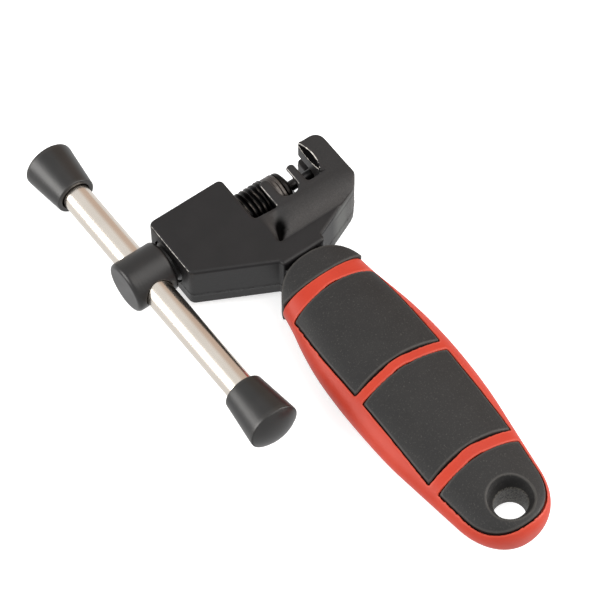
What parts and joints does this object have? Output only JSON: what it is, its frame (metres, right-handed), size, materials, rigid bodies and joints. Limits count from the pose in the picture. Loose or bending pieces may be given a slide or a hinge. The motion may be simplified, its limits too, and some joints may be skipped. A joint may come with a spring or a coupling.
{
  "type": "chain tool",
  "caption": "Bicycle chain tool: black cast head on a red handle with black grip pads, a screw spindle with a drive pin, and a sliding tommy bar with two caps.",
  "frame": {"origin": "centre of the tool's box on its lowest plane", "axes": "+X along the spindle towards the anvil, +Y from the handle to the head, +Z out of the front face"},
  "size_m": [0.0688, 0.168, 0.0216],
  "materials": {
    "black_casting": "satin black coat on cast steel",
    "black_steel": "black oxide, satin",
    "dark_steel": "hardened, brown-black",
    "pin_steel": "hardened, black",
    "chrome": "polished",
    "cap_plastic": "satin",
    "red_plastic": "satin",
    "black_rubber": "matt, fine grain"
  },
  "bodies": {
    "frame": {"head_frame": "black_casting", "handle_core": "red_plastic", "grip_collar": "black_rubber", "grip_upper_front": "black_rubber", "grip_upper_back": "black_rubber", "grip_middle_front": "black_rubber", "grip_middle_back": "black_rubber", "grip_end": "black_rubber"},
    "feed": {"drive_pin": "pin_steel"},
    "screw": {"spindle": "black_steel", "pin_holder": "dark_steel"},
    "bar": {"tommy_bar": "chrome", "bar_cap_far": "cap_plastic", "bar_cap_near": "cap_plastic"}
  },
  "joints": [
    {"name": "spindle_feed", "type": "slide", "parent": "frame", "child": "feed", "axis": [1, 0, 0], "range_m": [-0.0202, 0.0011]},
    {"name": "spindle_turn", "type": "hinge", "parent": "feed", "child": "screw", "pos_m": [0.01142, 0.03539, 0.01038], "axis": [1, 0, 0], "range_deg": [-4800, 240]},
    {"name": "bar_slide", "type": "slide", "parent": "screw", "child": "bar", "axis": [0, 0.9976, -0.0698], "range_m": [-0.0254, 0.0371]}
  ],
  "couplings": [
    {"joint": "spindle_feed", "follows": "spindle_turn", "m_per_rad": 0.00023873}
  ]
}
